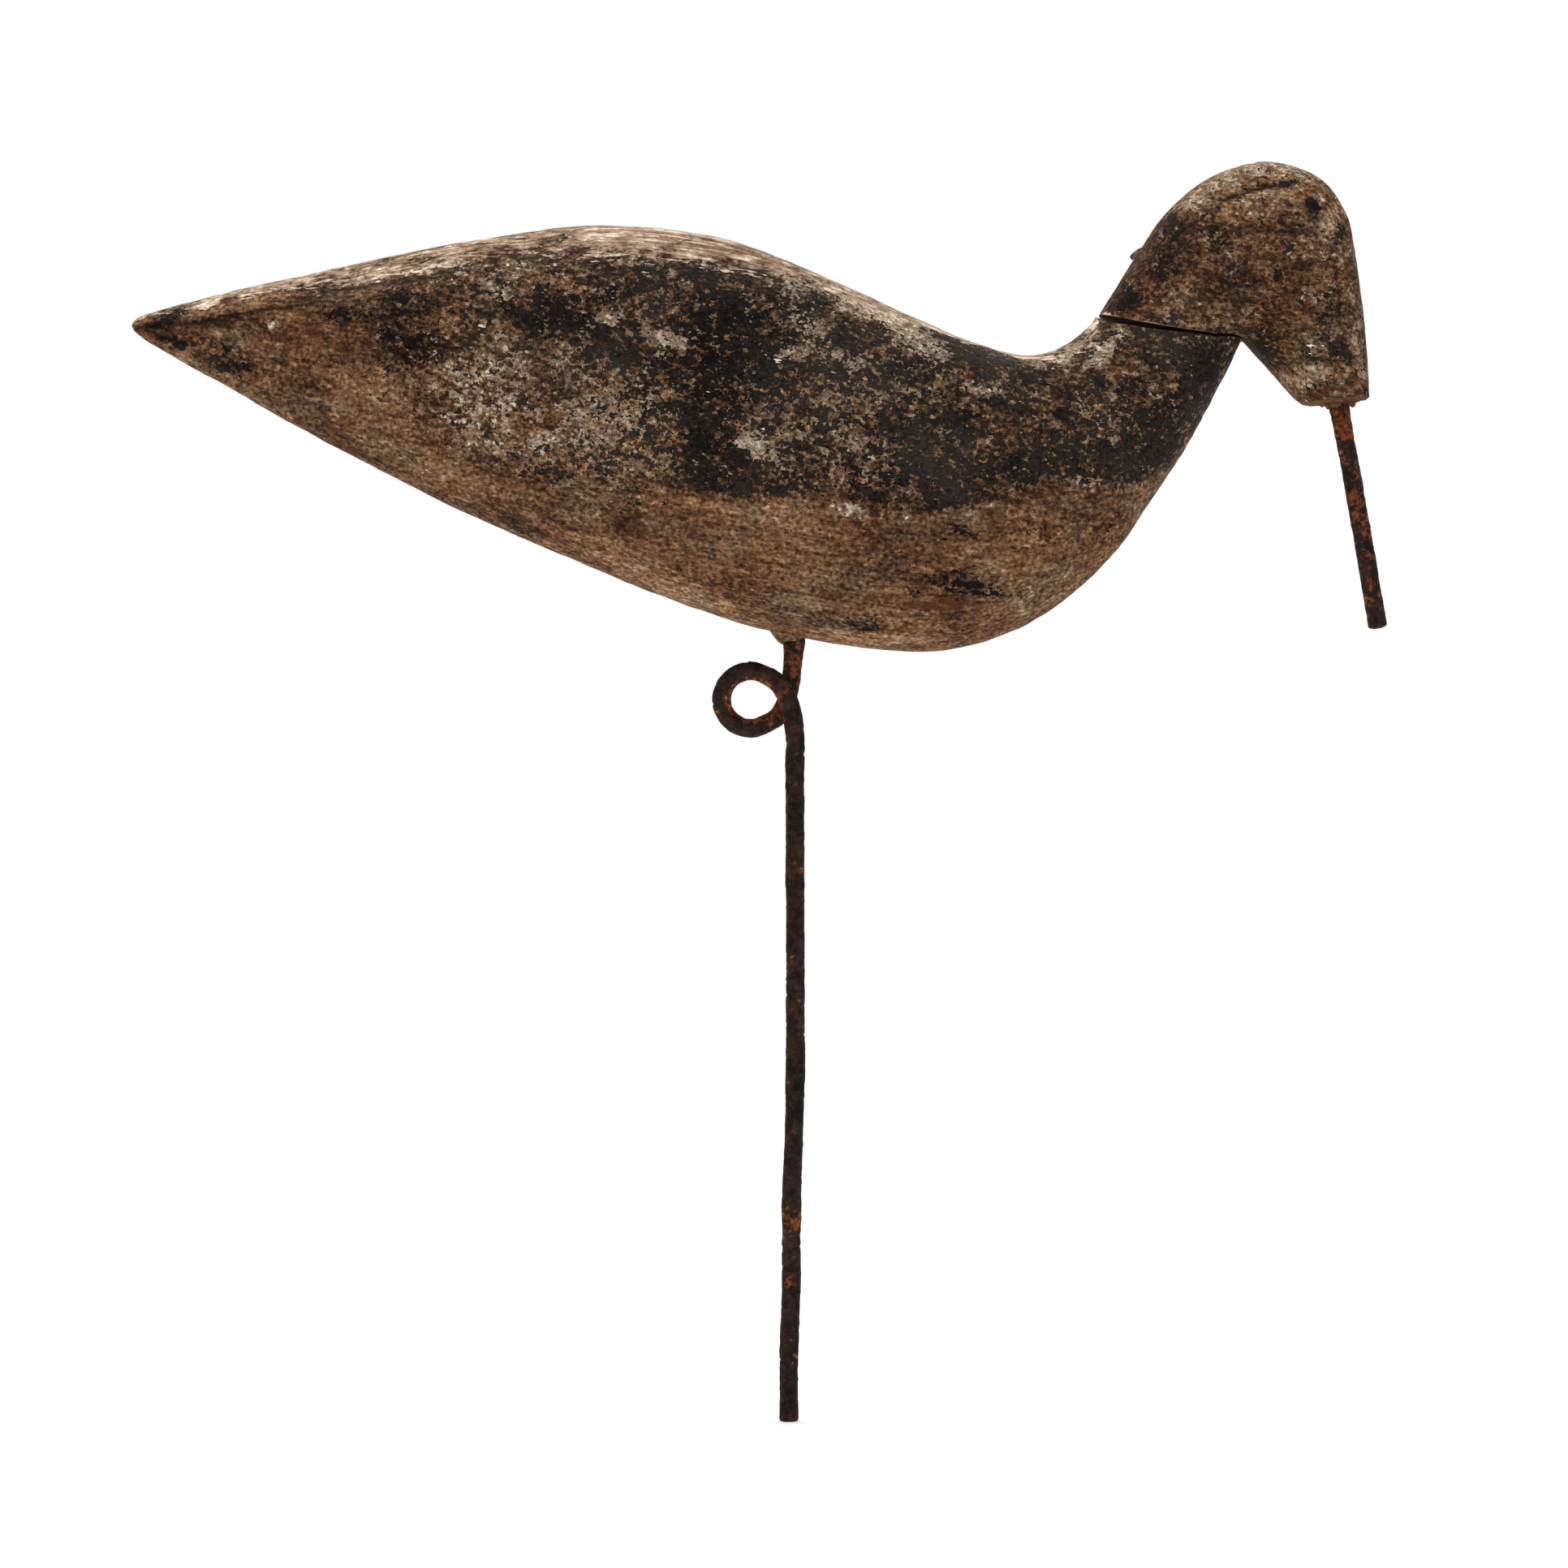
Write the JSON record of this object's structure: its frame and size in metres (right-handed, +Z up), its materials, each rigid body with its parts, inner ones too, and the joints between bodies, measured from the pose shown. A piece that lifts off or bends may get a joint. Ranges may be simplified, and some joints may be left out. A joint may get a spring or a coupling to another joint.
{
  "type": "shorebird decoy",
  "caption": "Carved wooden curlew hunting decoy with a sawn-on head and an iron-rod bill, carried on a rusted iron stake with a twisted eye that is pushed into the ground.",
  "frame": {"origin": "centre of the flat foot of the stake, the end that is pushed into the ground", "axes": "+Z up along the stake, +X the way the bird faces, +Y across the body to the bird's left side"},
  "size_m": [0.4329, 0.076, 0.434],
  "materials": {
    "body_wood": "worn black and cream paint over bare brown wood, matte",
    "head_wood": "worn dark paint over bare brown wood, matte",
    "bill_iron": "rusted rod with scale, matte",
    "nail_iron": "weathered cut nail, matte",
    "stake_iron": "dark rust with orange patches, matte"
  },
  "bodies": {
    "root": {"body": "body_wood", "head": "head_wood", "bill": "bill_iron", "neck_nail": "nail_iron", "stake": "stake_iron"}
  },
  "joints": []
}
